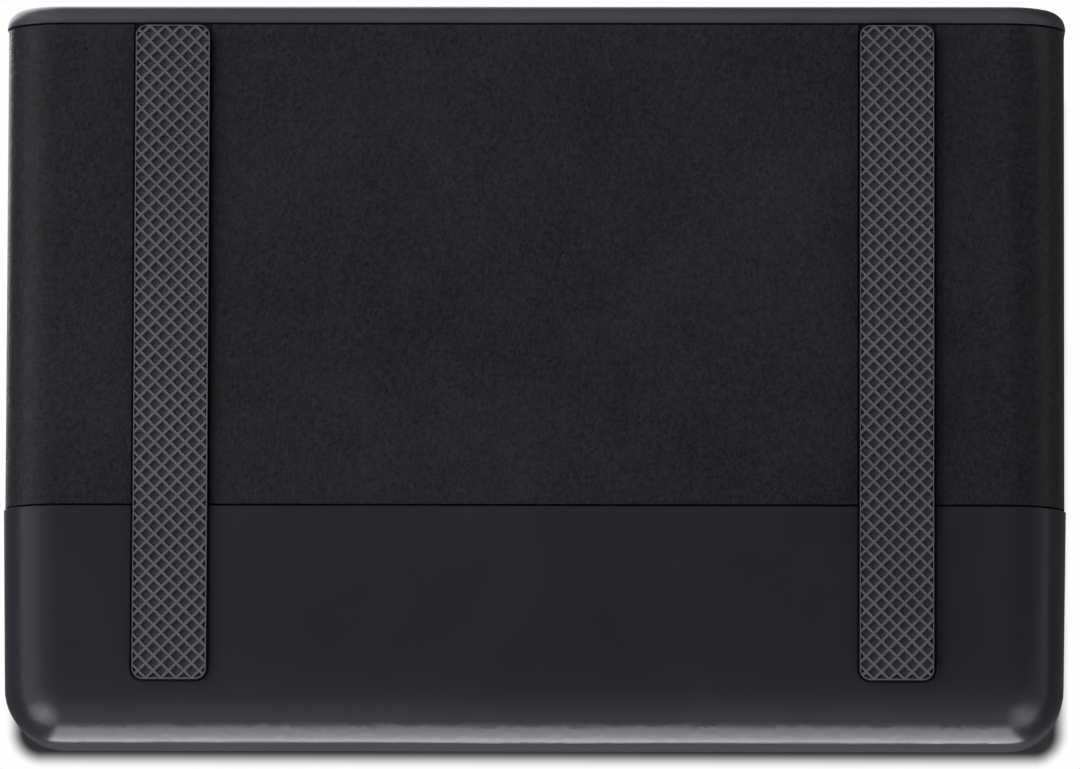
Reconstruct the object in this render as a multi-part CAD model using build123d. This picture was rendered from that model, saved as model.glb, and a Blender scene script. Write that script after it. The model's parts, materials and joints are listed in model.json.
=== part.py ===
from build123d import *
import os

# Slim two-bay duplicator for M.2 drives, lying on two rubber strips.
# X runs across, Y from the front (-) to the rear (+), Z up; the origin is under the middle of the feet.

# Outer form
height = 28.0
edge_radius = 8.5
front_edge_radius = 7.8
cup_draft = 0.45
cap_thickness = 2.6
cap_edge_radius = 2.5
shell_setback = 0.2
seam_gap = 0.3

# Walls and joints between the shells
shell_wall = 2.2
cup_wall = 2.0
parting_height = 14.0
collar_length = 4.0
collar_root = 3.0
collar_wall = 1.6
slip_fit = 0.15
cut_margin = 1.0
rib_height = 1.2
rib_wall = 0.8
well_wall = 1.4

# Rubber feet
foot_proud = 1.0
foot_thickness = 2.0
foot_width = 10.4
foot_length = 92.6
foot_spacing = 102.2
foot_corner = 1.5
foot_gap = 0.35
foot_edge = 0.25

# Boards
board_thickness = 1.6
board_lift = 4.0
board_edge_gap = 2.4
board_front_reach = 3.7
board_rear_gap = 1.6
board_corner = 2.0
panel_drop = 5.0
panel_side_gap = 5.5
panel_depth = 22.5
panel_front_gap = 6.0
panel_rear_gap = 0.5

# Drive bays, one behind the other, with the drives lying along X
drive_length = 80.0
drive_width = 22.0
drive_thickness = 0.8
drive_side_gap = 0.7
drive_room = 4.3
edge_insert = 4.0
socket_depth = 8.0
socket_height = 6.7
socket_width = 21.9
socket_end_wall = 1.0
slot_height = 1.0
well_end_gap = 10.85
well_lift = 1.2
well_floor = 1.2
bay_count = 2

# Lids
lid_end_ledge = 9.5
lid_side_margin = 18.0
lid_thickness = 2.0
lid_rib = 2.0
lid_gap = 0.3
lid_seat_gap = 0.1
lid_corner = 1.6
lid_front_ledge = 2.0
hinge_radius = 2.0
hinge_clearance = 0.6
hinge_pin_radius = 0.75
running_fit = 0.05
frame_depth = 6.2
rear_margin = 2.6
front_margin = 2.8
vent_slots = 14
vent_slot_width = 1.6
vent_pitch = 4.6
finger_length = 13.0
finger_notch = 5.5
finger_wall = 0.5
finger_depth = 4.6
finger_corner = 2.0

# Heat sinks under the lids
sink_width = 19.4
sink_length = 70.0
sink_hinge_gap = 3.4
sink_base = 2.4
pad_thickness = 1.0
pad_inset = 0.7
fin_count = 9
fin_thickness = 1.0

# Magnets
magnet_radius = 2.0
magnet_height = 1.0
magnet_end_gap = 5.0
magnet_front_gap = 4.0

# Drive clips
clip_length = 8.5
clip_width = 10.0
clip_lip = 1.5
clip_lip_height = 0.9
clip_travel = 50.0
clip_neck = 3.6
clip_neck_length = 6.0
clip_flange = 7.0
clip_flange_thickness = 0.6
clip_play = 0.1
clip_notch_radius = 1.75
clip_ridges = 3
clip_ridge_depth = 0.3

# Front panel
lens_length = 60.0
lens_width = 15.0
lens_thickness = 1.2
lens_key_gap = 9.5
lens_corner = 1.2
lens_ledge = 2.0
lcd_frame_margin = 2.0
lcd_frame_height = 4.6
lcd_panel_thickness = 1.4
panel_row = 18.4
key_size = 8.0
key_corner = 1.4
key_gap = 0.3
key_proud = 0.5
key_pitch = 10.5
key_side_gap = 17.0
key_names = ["key_up", "key_down", "key_back", "key_enter"]
key_flange = 0.6
key_flange_thickness = 1.0
key_travel = 0.6
key_dish_radius = 30.0
key_dish_depth = 0.25
plunger_radius = 1.6
plunger_length = 1.6
key_switch_size = 6.0
key_switch_gap = 0.2
key_switch_well = 2.4
pipe_radius = 1.0
pipe_flange = 0.6
pipe_flange_thickness = 0.8
pipe_pitch = 5.25
pipe_row = 10.4
led_size = 1.6
led_height = 0.7
led_gap = 0.1

# Rear connectors and switch
jack_side_gap = 10.8
jack_width = 9.0
jack_length = 13.5
jack_height = 11.0
jack_axis_height = 6.5
jack_bore_radius = 2.85
jack_bore_depth = 10.0
jack_pin_radius = 1.05
jack_pin_length = 8.0
port_spacing = 2.2
usb_width = 8.94
usb_height = 3.2
usb_length = 7.8
usb_shell = 0.3
usb_tongue_width = 6.7
usb_tongue_thickness = 0.7
usb_tongue_length = 6.0
usb_recess = 0.5
port_gap = 0.25
switch_side_gap = 10.9
switch_width = 13.2
switch_length = 12.4
switch_height = 11.4
rocker_width = 9.0
rocker_half_height = 4.2
rocker_face = 3.9
rocker_valley = 3.2
rocker_back = 3.0
rocker_tilt = 7.0
rocker_pivot_depth = 4.7
rocker_gap = 0.9
rocker_side_gap = 0.3
trunnion_radius = 1.0
trunnion_length = 1.0
rear_vents = 15
rear_vent_width = 2.0
rear_vent_height = 8.0
rear_vent_pitch = 4.6

# Parts on the main board
chip_row = 28.0
chip_layout = [(-22.0, 14.0), (22.0, 14.0), (0.0, 10.0)]
chip_height = 1.3
spreader_thickness = 1.5
spreader_length = 74.0
spreader_width = 24.0
can_radius = 3.15
can_height = 7.7
can_groove = 0.4
can_groove_height = 1.0
can_side_gap = 7.5
can_layout = [(1, 25.5), (1, 33.5), (1, 41.5), (-1, 25.5), (-1, 33.5)]
coil_size = 7.0
coil_height = 4.0
coil_core_radius = 2.6
coil_corner = 1.2
coil_side_gap = 8.0
coil_layout = [(1, 55.6), (-1, 55.6), (-1, 41.5)]
ribbon_width = 12.0
ribbon_thickness = 0.3
ribbon_side_gap = 42.0
ribbon_bend = 1.6
ribbon_socket_length = 15.0
ribbon_socket_depth = 4.0
ribbon_socket_height = 2.0

# Screws
screw_radius = 1.4
screw_head_radius = 2.5
screw_head_height = 1.6
screw_clearance = 0.2
screw_bite = 6.0
boss_wall = 1.8
socket_key_radius = 0.9
socket_key_depth = 0.8
case_screw_gap = 0.3
case_screw_layout = [17.3, 48.6]
cup_screw_gap = 0.5
tongue_thickness = 2.0
tongue_boss_height = 5.4
small_screw_radius = 1.0
small_boss_wall = 1.4
small_head_radius = 2.0
small_head_height = 1.2
board_screw_side_gap = 7.0
board_screw_layout = [19.0, 62.2]
panel_screw_side_gap = 8.5
panel_screw_edge = 2.8
sink_screw_radius = 0.8
cap_screw_side_gap = 9.0
cap_screw_drop = 4.8
cap_boss_length = 11.0

# Lengths and widths that follow from the sizes above
well_width = drive_width + 2 * drive_side_gap
well_length = slip_fit + socket_depth + drive_length - edge_insert + well_end_gap
lid_width = hinge_radius + hinge_clearance + hinge_radius + well_width + lid_front_ledge
lid_length = well_length + 2 * lid_end_ledge
width = lid_length + 2 * lid_side_margin
bay_pitch = lid_width + 2 * lid_gap + lid_rib
body_depth = rear_margin + bay_count * bay_pitch - lid_rib + front_margin
cup_depth = panel_front_gap + panel_depth + panel_rear_gap + collar_length
depth = cup_depth + body_depth + cap_thickness
half_width = width / 2
boss_radius = screw_radius + boss_wall
case_boss_radius = boss_radius + screw_clearance
small_boss_radius = small_screw_radius + small_boss_wall

# Places from front to rear
y_front = -depth / 2
y_rear = depth / 2
y_cap = y_rear - cap_thickness
y_seam = y_front + cup_depth
foot_rear = y_cap - foot_gap - seam_gap / 2
foot_front = foot_rear - foot_length
board_front = y_seam - board_front_reach
board_rear = y_cap - board_rear_gap
panel_centre_y = y_front + panel_row
pipe_row_y = y_front + pipe_row
chip_row_y = y_cap - chip_row
rear_hinge_y = y_cap - rear_margin - lid_gap - hinge_radius
hinge_rows = [rear_hinge_y - bay_pitch * step for step in range(bay_count)]
well_rear = -(hinge_radius + hinge_clearance)
well_front = well_rear - well_width
drive_row = (well_rear + well_front) / 2
lid_reach = lid_width - hinge_radius
rocker_y = y_rear - rocker_pivot_depth
case_screw_rows = [y_cap - step for step in case_screw_layout]
cup_screw_y = y_seam - collar_length - cup_screw_gap - case_boss_radius
board_screw_rows = [y_cap - step for step in board_screw_layout]
panel_screw_rows = [y_front + panel_front_gap + panel_screw_edge,
                    y_front + panel_front_gap + panel_depth - panel_screw_edge]

# Places from left to right
well_left = -well_length / 2
well_right = well_length / 2
socket_back_x = well_left + slip_fit
socket_face_x = socket_back_x + socket_depth
drive_end_x = socket_face_x - edge_insert + drive_length
magnet_x = lid_length / 2 - magnet_end_gap
foot_x = foot_spacing / 2
case_screw_x = well_length / 2 + well_wall + case_screw_gap + case_boss_radius
board_half_width = half_width - shell_wall - board_edge_gap
board_screw_x = half_width - board_screw_side_gap
panel_half_length = half_width - panel_side_gap
panel_screw_x = half_width - panel_screw_side_gap
key_xs = [half_width - key_side_gap - key_pitch * step for step in range(len(key_names))][::-1]
lens_centre_x = key_xs[0] - key_size / 2 - lens_key_gap - lens_length / 2
pipe_centre_x = (key_xs[0] + key_xs[-1]) / 2
ribbon_centre_x = -(half_width - ribbon_side_gap)
jack_centre_x = half_width - jack_side_gap
usb_centre_x = jack_centre_x - jack_width / 2 - port_spacing - usb_width / 2
switch_centre_x = -(half_width - switch_side_gap)
rear_vent_centre_x = (usb_centre_x - usb_width / 2 + switch_centre_x + switch_width / 2) / 2
cap_screw_x = half_width - cap_screw_side_gap
chip_places = [(x, chip_row_y, size) for x, size in chip_layout]
can_places = [(side * (half_width - can_side_gap), y_cap - step) for side, step in can_layout]
coil_places = [(side * (half_width - coil_side_gap), y_cap - step) for side, step in coil_layout]

# Heights
z_centre = (foot_proud + height) / 2
deck_top = height - shell_setback
deck_bottom = deck_top - shell_wall
shell_floor = foot_proud + shell_setback + shell_wall
cup_floor = foot_proud + cup_wall
cup_ceiling = height - cup_wall
board_bottom = shell_floor + board_lift
board_top = board_bottom + board_thickness
panel_top = cup_ceiling - panel_drop
panel_bottom = panel_top - board_thickness
floor_bottom = board_top + well_lift
floor_top = floor_bottom + well_floor
pad_bottom = floor_top + drive_room
pad_top = pad_bottom + pad_thickness
drive_plane = board_top + socket_height - 2 * slot_height - drive_thickness / 2
lid_bottom = deck_top - lid_thickness
seat_top = lid_bottom - lid_seat_gap
hinge_z = deck_top - hinge_radius
frame_bottom = deck_top - frame_depth
trough_floor = hinge_z - hinge_radius - lid_gap
key_flange_top = cup_ceiling - slip_fit
key_flange_bottom = key_flange_top - key_flange_thickness
key_switch_top = key_flange_bottom - key_travel - key_switch_gap
jack_z = board_top + jack_axis_height
rocker_z = board_top + switch_height / 2
cap_screw_z = deck_top - cap_screw_drop


def block(x0, x1, y0, y1, z0, z1):
    centre = Pos((x0 + x1) / 2, (y0 + y1) / 2, (z0 + z1) / 2)
    return centre * Box(x1 - x0, y1 - y0, z1 - z0)


def post(x, y, z0, z1, radius):
    return Pos(x, y, (z0 + z1) / 2) * Cylinder(radius, z1 - z0)


def rod_x(y, z, x0, x1, radius):
    return Pos((x0 + x1) / 2, y, z) * Rot(0, 90, 0) * Cylinder(radius, x1 - x0)


def rod_y(x, z, y0, y1, radius):
    return Pos(x, (y0 + y1) / 2, z) * Rot(90, 0, 0) * Cylinder(radius, y1 - y0)


def plate(x0, x1, y0, y1, z0, z1, corner):
    outline = RectangleRounded(x1 - x0, y1 - y0, corner)
    return Pos((x0 + x1) / 2, (y0 + y1) / 2, z0) * extrude(outline, amount=z1 - z0)


def section(inset, y, draft=0.0):
    # The box's rounded cross-section at y, set in on all sides and by the draft at its two ends
    across = width - 2 * (inset + draft)
    outline = RectangleRounded(across, height - foot_proud - 2 * inset, edge_radius - inset)
    return Plane((0, y, z_centre), x_dir=(1, 0, 0), z_dir=(0, -1, 0)) * outline


def form(inset, y_from, length):
    return extrude(section(inset, y_from), amount=length)


def cup_form(inset, y_to, nose_radius):
    # The drafted front section with all four of its nose edges rounded
    draft = cup_draft * (y_seam - y_to) / cup_depth
    body = loft([section(inset, y_seam), section(inset, y_to, draft)], ruled=True)
    return fillet(body.faces().sort_by(Axis.Y)[0].edges(), nose_radius)


def profile_x(points, x0, x1):
    # A closed outline of (y, z) points run along X
    outline = Plane((x0, 0, 0), x_dir=(0, 1, 0), z_dir=(1, 0, 0)) * make_face(Polyline(*points, close=True))
    return extrude(outline, amount=x1 - x0)


def below(z):
    return block(-width, width, -depth, depth, -height, z)


def above(z):
    return block(-width, width, -depth, depth, z, 2 * height)


def group(solids):
    return Compound(children=list(solids))


def screw(x, y, seat, direction, length, radius, head_radius, head_height):
    # Pan-head screw whose head bears on the height 'seat'; direction +1 drives it upwards
    shank = post(x, y, min(seat, seat + direction * length), max(seat, seat + direction * length), radius)
    outer = seat - direction * head_height
    head = post(x, y, min(seat, outer), max(seat, outer), head_radius)
    drive_end = outer + direction * socket_key_depth
    key_radius = socket_key_radius * head_radius / screw_head_radius
    drive = post(x, y, min(outer, drive_end), max(outer, drive_end), key_radius)
    return shank + head - drive


def foot_recesses():
    # The shallow beds of the rubber strips, cut up from below
    beds = []
    for side in (-1, 1):
        x = side * foot_x
        half = foot_width / 2 + foot_gap
        beds.append(plate(x - half, x + half, foot_front - foot_gap, y_rear, 0, foot_thickness,
                          foot_corner + foot_gap))
    return beds


def textured_tube():
    # The whole textured section before it is parted into its lower and upper shells
    outer = form(shell_setback, y_cap - seam_gap, y_cap - y_seam - 2 * seam_gap)
    rear_lip = form(shell_setback + shell_wall / 2, y_cap, 2 * seam_gap + shell_wall)
    collar = form(cup_wall + slip_fit, y_seam + collar_root, collar_root + collar_length)
    hollow = form(shell_setback + shell_wall, y_rear, y_rear - y_seam - collar_root)
    hollow += form(cup_wall + slip_fit + collar_wall, y_rear, depth)
    return outer + rear_lip + collar - hollow


def base_shell():
    shell = textured_tube() & below(parting_height)
    inner = shell_setback + shell_wall
    length = y_cap - y_seam - 2 * collar_root
    rib_from = y_cap - collar_root
    rib = form(inner - slip_fit, rib_from, length) - form(inner + rib_wall + slip_fit, y_rear, depth)
    rib = rib & block(-width, width, -depth, depth, parting_height - rib_height, parting_height)
    tongue = form(inner + slip_fit, rib_from, length) - form(inner + slip_fit + rib_wall, y_rear, depth)
    tongue = tongue & block(-width, width, -depth, depth,
                            parting_height - rib_height, parting_height + rib_height)
    shell = shell + rib + tongue
    for side in (-1, 1):
        for y in case_screw_rows:
            shell += post(side * case_screw_x, y, foot_thickness, parting_height, case_boss_radius)
        for y in board_screw_rows:
            shell += post(side * board_screw_x, y, shell_floor - slip_fit, board_bottom, small_boss_radius)
            shell -= post(side * board_screw_x, y, shell_floor, board_bottom, small_screw_radius)
        # Tongue that reaches into the cup and takes its screw
        tongue_floor = cup_floor + slip_fit + collar_wall
        x = side * case_screw_x
        half = case_boss_radius
        shell += block(x - half, x + half, cup_screw_y, y_seam + collar_root,
                       tongue_floor, tongue_floor + tongue_thickness)
        shell += post(x, cup_screw_y, tongue_floor, tongue_floor + tongue_boss_height, half)
        shell -= post(x, cup_screw_y, tongue_floor, tongue_floor + tongue_boss_height, screw_radius)
    for bed in foot_recesses():
        shell -= bed
    for side in (-1, 1):
        for y in case_screw_rows:
            seat = foot_thickness + screw_head_height
            shell -= post(side * case_screw_x, y, foot_thickness, seat, screw_head_radius + screw_clearance)
            shell -= post(side * case_screw_x, y, seat, parting_height, screw_radius + screw_clearance)
    return shell


def bay_mould(hinge_y):
    # Outside of one drive well: a shallow frame for the lid over a deeper well for the drive
    half = lid_length / 2 + lid_gap + well_wall
    upper = block(-half, half, hinge_y - lid_reach - lid_gap - well_wall,
                  hinge_y + hinge_radius + lid_gap + well_wall, frame_bottom, deck_top)
    lower = block(well_left - well_wall, well_right + well_wall, hinge_y + well_front - well_wall,
                  hinge_y + well_rear + well_wall, floor_bottom, frame_bottom + well_wall)
    return upper + lower


def bay_hollow(hinge_y):
    # Space cut out of one drive well: lid pocket, hinge trough, well, finger scoop, slot and socket hole
    half = lid_length / 2 + lid_gap
    pocket = plate(-half, half, hinge_y - lid_reach - lid_gap, hinge_y + hinge_radius + lid_gap,
                   seat_top, height + cut_margin, lid_corner)
    trough = block(-half, half, hinge_y + well_rear, hinge_y + hinge_radius + lid_gap,
                   trough_floor, height + cut_margin)
    well = block(well_left, well_right, hinge_y + well_front, hinge_y + well_rear,
                 floor_top, height + cut_margin)
    finger_y = hinge_y + drive_row
    finger = block(well_right + well_wall + finger_wall, half, finger_y - finger_length / 2,
                   finger_y + finger_length / 2, deck_top - finger_depth, height + cut_margin)
    slot_half = (clip_neck + 2 * clip_play) / 2
    slot_end = drive_end_x + clip_length / 2 + clip_neck_length / 2 + clip_play
    slot = block(slot_end - clip_neck_length - 2 * clip_play - clip_travel, slot_end, finger_y - slot_half,
                 finger_y + slot_half, floor_bottom, floor_top)
    socket_half = socket_width / 2 + slip_fit
    socket = block(well_left, socket_face_x + slip_fit, finger_y - socket_half, finger_y + socket_half,
                   floor_bottom, floor_top)
    return pocket + trough + well + finger + slot + socket


def top_shell():
    shell = textured_tube() & above(parting_height)
    for hinge_y in hinge_rows:
        shell += bay_mould(hinge_y)
    for side in (-1, 1):
        for y in case_screw_rows:
            shell += post(side * case_screw_x, y, parting_height, frame_bottom + well_wall, boss_radius)
        shell += rod_y(side * cap_screw_x, cap_screw_z, y_cap - cap_boss_length, y_cap, small_boss_radius)
        shell += block(side * cap_screw_x - well_wall / 2, side * cap_screw_x + well_wall / 2,
                       y_cap - cap_boss_length, y_cap, cap_screw_z, deck_bottom + slip_fit)
    for hinge_y in hinge_rows:
        shell -= bay_hollow(hinge_y)
        reach = lid_length / 2 + lid_gap + well_wall
        shell -= rod_x(hinge_y, hinge_z, -reach, reach, hinge_pin_radius)
        for side in (-1, 1):
            shell -= post(side * magnet_x, hinge_y - lid_reach + magnet_front_gap,
                          seat_top - magnet_height, seat_top, magnet_radius)
    for side in (-1, 1):
        for y in case_screw_rows:
            shell -= post(side * case_screw_x, y, parting_height, parting_height + screw_bite, screw_radius)
        shell -= rod_y(side * cap_screw_x, cap_screw_z, y_cap - cap_boss_length, y_cap, small_screw_radius)
    return shell


def front_shell():
    shell = cup_form(0, y_front, front_edge_radius)
    shell -= cup_form(cup_wall, y_front + cup_wall, front_edge_radius - cup_wall)
    for side in (-1, 1):
        x = side * case_screw_x
        pad_height = cup_floor + slip_fit + collar_wall - slip_fit / 2
        shell += post(x, cup_screw_y, foot_thickness, pad_height, case_boss_radius)
        for y in panel_screw_rows:
            shell += post(side * panel_screw_x, y, panel_top, cup_ceiling, small_boss_radius)
            shell -= post(side * panel_screw_x, y, panel_top, cup_ceiling, small_screw_radius)
    for bed in foot_recesses():
        shell -= bed
    for side in (-1, 1):
        x = side * case_screw_x
        seat = foot_thickness + screw_head_height
        shell -= post(x, cup_screw_y, foot_thickness, seat, screw_head_radius + screw_clearance)
        shell -= post(x, cup_screw_y, seat, cup_floor + collar_wall + slip_fit,
                      screw_radius + screw_clearance)
    reach = lens_length / 2 + slip_fit
    rise = lens_width / 2 + slip_fit
    shell -= plate(lens_centre_x - reach, lens_centre_x + reach, panel_centre_y - rise, panel_centre_y + rise,
                   height - lens_thickness, height + cut_margin, lens_corner + slip_fit)
    shell -= plate(lens_centre_x - lens_length / 2 + lens_ledge, lens_centre_x + lens_length / 2 - lens_ledge,
                   panel_centre_y - lens_width / 2 + lens_ledge, panel_centre_y + lens_width / 2 - lens_ledge,
                   cup_ceiling, height, lens_corner)
    for x in key_xs:
        half = key_size / 2 + key_gap
        shell -= plate(x - half, x + half, panel_centre_y - half, panel_centre_y + half,
                       cup_ceiling, height + cut_margin, key_corner + key_gap)
    for x, y in pipe_places():
        shell -= post(x, y, cup_ceiling, height, pipe_radius + running_fit)
    return shell


def rear_cap():
    cap = form(0, y_rear, cap_thickness)
    cap = fillet(cap.faces().sort_by(Axis.Y)[-1].edges(), cap_edge_radius)
    cap -= rod_y(jack_centre_x, jack_z, y_cap, y_rear, jack_bore_radius + port_gap)
    half = usb_width / 2 + port_gap
    rise = usb_height / 2 + port_gap
    usb_z = board_top + usb_height / 2
    mouth = Plane((usb_centre_x, y_rear, usb_z), x_dir=(1, 0, 0), z_dir=(0, -1, 0))
    cap -= extrude(mouth * SlotOverall(2 * half, 2 * rise), amount=cap_thickness)
    half = rocker_width / 2 + rocker_side_gap
    rise = rocker_half_height + rocker_gap
    cap -= block(switch_centre_x - half, switch_centre_x + half, y_cap, y_rear,
                 rocker_z - rise, rocker_z + rise)
    for step in range(rear_vents):
        x = rear_vent_centre_x + (step - (rear_vents - 1) / 2) * rear_vent_pitch
        place = Plane((x, y_rear, z_centre), x_dir=(1, 0, 0), z_dir=(0, -1, 0))
        vent = place * SlotOverall(rear_vent_height, rear_vent_width, rotation=90)
        cap -= extrude(vent, amount=cap_thickness)
    for side in (-1, 1):
        x = side * cap_screw_x
        cap -= rod_y(x, cap_screw_z, y_cap, y_rear, small_screw_radius + screw_clearance)
        cap -= rod_y(x, cap_screw_z, y_rear - small_head_height, y_rear, small_head_radius + screw_clearance)
    return cap


def foot_strip(side):
    x = side * foot_x
    half = foot_width / 2
    strip = plate(x - half, x + half, foot_front, foot_rear, 0, foot_thickness, foot_corner)
    return chamfer(strip.faces().sort_by(Axis.Z)[0].edges(), foot_edge)


def bay_lid(hinge_y):
    half = lid_length / 2
    lid = plate(-half, half, hinge_y - lid_reach, hinge_y + hinge_radius, lid_bottom, deck_top, lid_corner)
    lid = lid & block(-half, half, hinge_y - lid_reach, hinge_y, lid_bottom, deck_top)
    lid += rod_x(hinge_y, hinge_z, -half, half, hinge_radius)
    lid -= rod_x(hinge_y, hinge_z, -half, half, hinge_pin_radius + running_fit)
    vent = SlotOverall(sink_width - 2 * sink_base, vent_slot_width, rotation=90)
    for step in range(vent_slots):
        x = (step - (vent_slots - 1) / 2) * vent_pitch
        place = Pos(x, hinge_y - sink_hinge_gap - sink_width / 2, lid_bottom)
        lid -= place * extrude(vent, amount=lid_thickness)
    notch_y = hinge_y + drive_row
    lid -= plate(half - finger_notch, half + finger_notch, notch_y - finger_length / 2,
                 notch_y + finger_length / 2, lid_bottom, deck_top, finger_corner)
    for side in (-1, 1):
        lid -= post(side * magnet_x, hinge_y - lid_reach + magnet_front_gap,
                    lid_bottom, lid_bottom + magnet_height, magnet_radius)
    for x, y in sink_screw_places(hinge_y):
        lid -= post(x, y, lid_bottom, deck_top, sink_screw_radius + screw_clearance)
        lid -= post(x, y, deck_top - small_head_height, deck_top, small_head_radius + screw_clearance)
    return lid


def sink_screw_places(hinge_y):
    middle = hinge_y - sink_hinge_gap - sink_width / 2
    reach = sink_length / 2 - small_head_radius
    return [(-reach, middle), (reach, middle)]


def lid_heatsink(hinge_y):
    rear = hinge_y - sink_hinge_gap
    front = rear - sink_width
    half = sink_length / 2
    sink = block(-half, half, front, rear, pad_top, lid_bottom)
    end_land = 2 * small_head_radius
    channel = (sink_width - fin_count * fin_thickness) / (fin_count - 1)
    for step in range(fin_count - 1):
        y = front + fin_thickness + step * (channel + fin_thickness)
        sink -= block(end_land - half, half - end_land, y, y + channel,
                      pad_top + sink_base, lid_bottom)
    for x, y in sink_screw_places(hinge_y):
        sink -= post(x, y, pad_top + sink_base, lid_bottom, sink_screw_radius)
    return sink


def lid_thermal_pad(hinge_y):
    rear = hinge_y - sink_hinge_gap - pad_inset
    front = rear - sink_width + 2 * pad_inset
    half = sink_length / 2 - pad_inset
    return block(-half, half, front, rear, pad_bottom, pad_top)


def lid_screws(hinge_y):
    seat = deck_top - small_head_height
    length = seat - pad_top - sink_base
    return group(screw(x, y, seat, -1, length, sink_screw_radius, small_head_radius, small_head_height)
                 for x, y in sink_screw_places(hinge_y))


def lid_magnets(hinge_y):
    y = hinge_y - lid_reach + magnet_front_gap
    return group(post(side * magnet_x, y, lid_bottom, lid_bottom + magnet_height, magnet_radius)
                 for side in (-1, 1))


def catch_magnets():
    return group(post(side * magnet_x, hinge_y - lid_reach + magnet_front_gap,
                      seat_top - magnet_height, seat_top, magnet_radius)
                 for hinge_y in hinge_rows for side in (-1, 1))


def hinge_pin(hinge_y):
    reach = lid_length / 2 + lid_gap + well_wall
    return rod_x(hinge_y, hinge_z, -reach, reach, hinge_pin_radius)


def m2_socket(hinge_y):
    y = hinge_y + drive_row
    half = socket_width / 2
    top = board_top + socket_height
    socket = block(socket_back_x, socket_face_x, y - half, y + half, board_top, top)
    mouth = drive_plane + drive_thickness / 2
    half -= socket_end_wall
    socket -= block(socket_face_x - edge_insert, socket_face_x, y - half, y + half,
                    mouth - slot_height / 2, mouth + slot_height / 2)
    step = socket_height / 2
    return socket - block(socket_face_x - slot_height, socket_face_x, y - half, y + half,
                          board_top, board_top + step)


def drive_clip(hinge_y):
    y = hinge_y + drive_row
    foot = floor_top + clip_play
    lip_bottom = drive_plane + drive_thickness + clip_play
    top = lip_bottom + clip_lip_height
    half = clip_width / 2
    x0 = drive_end_x
    x1 = x0 + clip_length
    clip = block(x0 + clip_play, x1, y - half, y + half, foot, top)
    clip += block(x0 - clip_lip, x0 + clip_play, y - half, y + half, lip_bottom, top)
    clip += block(x0 - clip_lip, x0 + clip_play, y - half, y + half, foot, drive_plane - clip_play)
    clip += post(x0, y, foot, top, clip_notch_radius - clip_play)
    neck_centre = x0 + clip_length / 2
    clip += block(neck_centre - clip_neck_length / 2, neck_centre + clip_neck_length / 2,
                  y - clip_neck / 2, y + clip_neck / 2, floor_bottom - clip_play, foot)
    flange_top = floor_bottom - clip_play
    clip += block(neck_centre - clip_neck_length / 2, neck_centre + clip_neck_length / 2,
                  y - clip_flange / 2, y + clip_flange / 2, flange_top - clip_flange_thickness, flange_top)
    ridge = clip_length / (2 * clip_ridges + 1)
    for step in range(clip_ridges):
        start = x0 + ridge * (2 * step + 1)
        clip -= block(start, start + ridge, y - half, y + half, top - clip_ridge_depth, top)
    return clip


def main_board():
    board = plate(-board_half_width, board_half_width, board_front, board_rear, board_bottom, board_top,
                  board_corner)
    for side in (-1, 1):
        for y in case_screw_rows:
            board -= post(side * case_screw_x, y, board_bottom, board_top,
                          case_boss_radius + screw_clearance + slip_fit)
        for y in board_screw_rows:
            board -= post(side * board_screw_x, y, board_bottom, board_top,
                          small_screw_radius + screw_clearance)
    return board


def control_board():
    front = y_front + panel_front_gap
    board = plate(-panel_half_length, panel_half_length, front, front + panel_depth, panel_bottom, panel_top,
                  board_corner)
    for side in (-1, 1):
        for y in panel_screw_rows:
            board -= post(side * panel_screw_x, y, panel_bottom, panel_top,
                          small_screw_radius + screw_clearance)
    return board


def ribbon_points():
    start_y = y_seam - slip_fit
    start_z = board_top + ribbon_socket_height
    end_y = panel_centre_y + ribbon_socket_depth
    end_z = panel_bottom - ribbon_socket_height
    turn_z = (start_z + end_z) / 2
    return [(start_y, start_z), (start_y, turn_z), (end_y, turn_z), (end_y, end_z)]


def display_ribbon():
    # One flat strip between the two boards, bent twice
    x0 = ribbon_centre_x - ribbon_width / 2
    path = FilletPolyline(*ribbon_points(), radius=ribbon_bend)
    strip = Plane((x0, 0, 0), x_dir=(0, 1, 0), z_dir=(1, 0, 0)) * trace(path, line_width=ribbon_thickness)
    ribbon = extrude(strip, amount=ribbon_width)
    start_z = ribbon_points()[0][1]
    end_z = ribbon_points()[-1][1]
    return ribbon & block(-width, width, -depth, depth, start_z, end_z)


def ribbon_sockets():
    points = ribbon_points()
    half = ribbon_socket_length / 2
    reach = ribbon_socket_depth / 2
    low_y, low_z = points[0]
    high_y, high_z = points[-1]
    lower = block(ribbon_centre_x - half, ribbon_centre_x + half, low_y - reach, low_y + reach,
                  board_top, low_z)
    upper = block(ribbon_centre_x - half, ribbon_centre_x + half, high_y - reach, high_y + reach,
                  high_z, panel_bottom)
    return group([lower, upper])


def controller_chips():
    return group(block(x - size / 2, x + size / 2, y - size / 2, y + size / 2,
                       board_bottom - chip_height, board_bottom)
                 for x, y, size in chip_places)


def spreader_plate():
    return plate(-spreader_length / 2, spreader_length / 2, chip_row_y - spreader_width / 2,
                 chip_row_y + spreader_width / 2, shell_floor, shell_floor + spreader_thickness, board_corner)


def spreader_pads():
    low = shell_floor + spreader_thickness
    high = board_bottom - chip_height
    return group(block(x - size / 2 + pad_inset, x + size / 2 - pad_inset, y - size / 2 + pad_inset,
                       y + size / 2 - pad_inset, low, high)
                 for x, y, size in chip_places)


def board_capacitors():
    cans = []
    for x, y in can_places:
        can = post(x, y, board_top, board_top + can_height, can_radius)
        low = board_top + can_groove_height
        groove = post(x, y, low, low + can_groove, can_radius)
        groove -= post(x, y, low, low + can_groove, can_radius - can_groove)
        cans.append(can - groove)
    return group(cans)


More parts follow.
